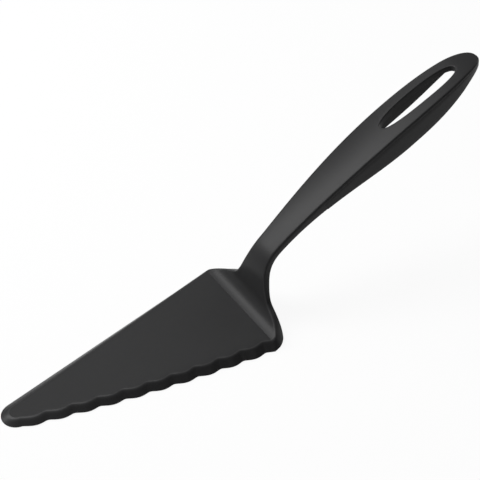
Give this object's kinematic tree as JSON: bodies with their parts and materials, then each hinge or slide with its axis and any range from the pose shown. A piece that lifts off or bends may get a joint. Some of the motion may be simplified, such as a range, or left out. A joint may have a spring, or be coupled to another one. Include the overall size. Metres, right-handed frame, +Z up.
{
  "type": "cake knife",
  "caption": "Cake knife and server: a flat tapering plate with a scalloped edge, an upturned heel, a narrow neck and an arched hollow handle with a hanging slot.",
  "frame": {"origin": "on the blade's underside, on the knife's centre line, 60 mm in front of the line where the blade meets the heel", "axes": "+X towards the tip, +Y towards the scalloped edge, +Z up with the blade lying flat"},
  "size_m": [0.2666, 0.0646, 0.102],
  "materials": {
    "nylon": "matt black nylon with a fine moulded grain"
  },
  "bodies": {
    "root": {"blade": "nylon", "spine": "nylon", "grip": "nylon"}
  },
  "joints": []
}
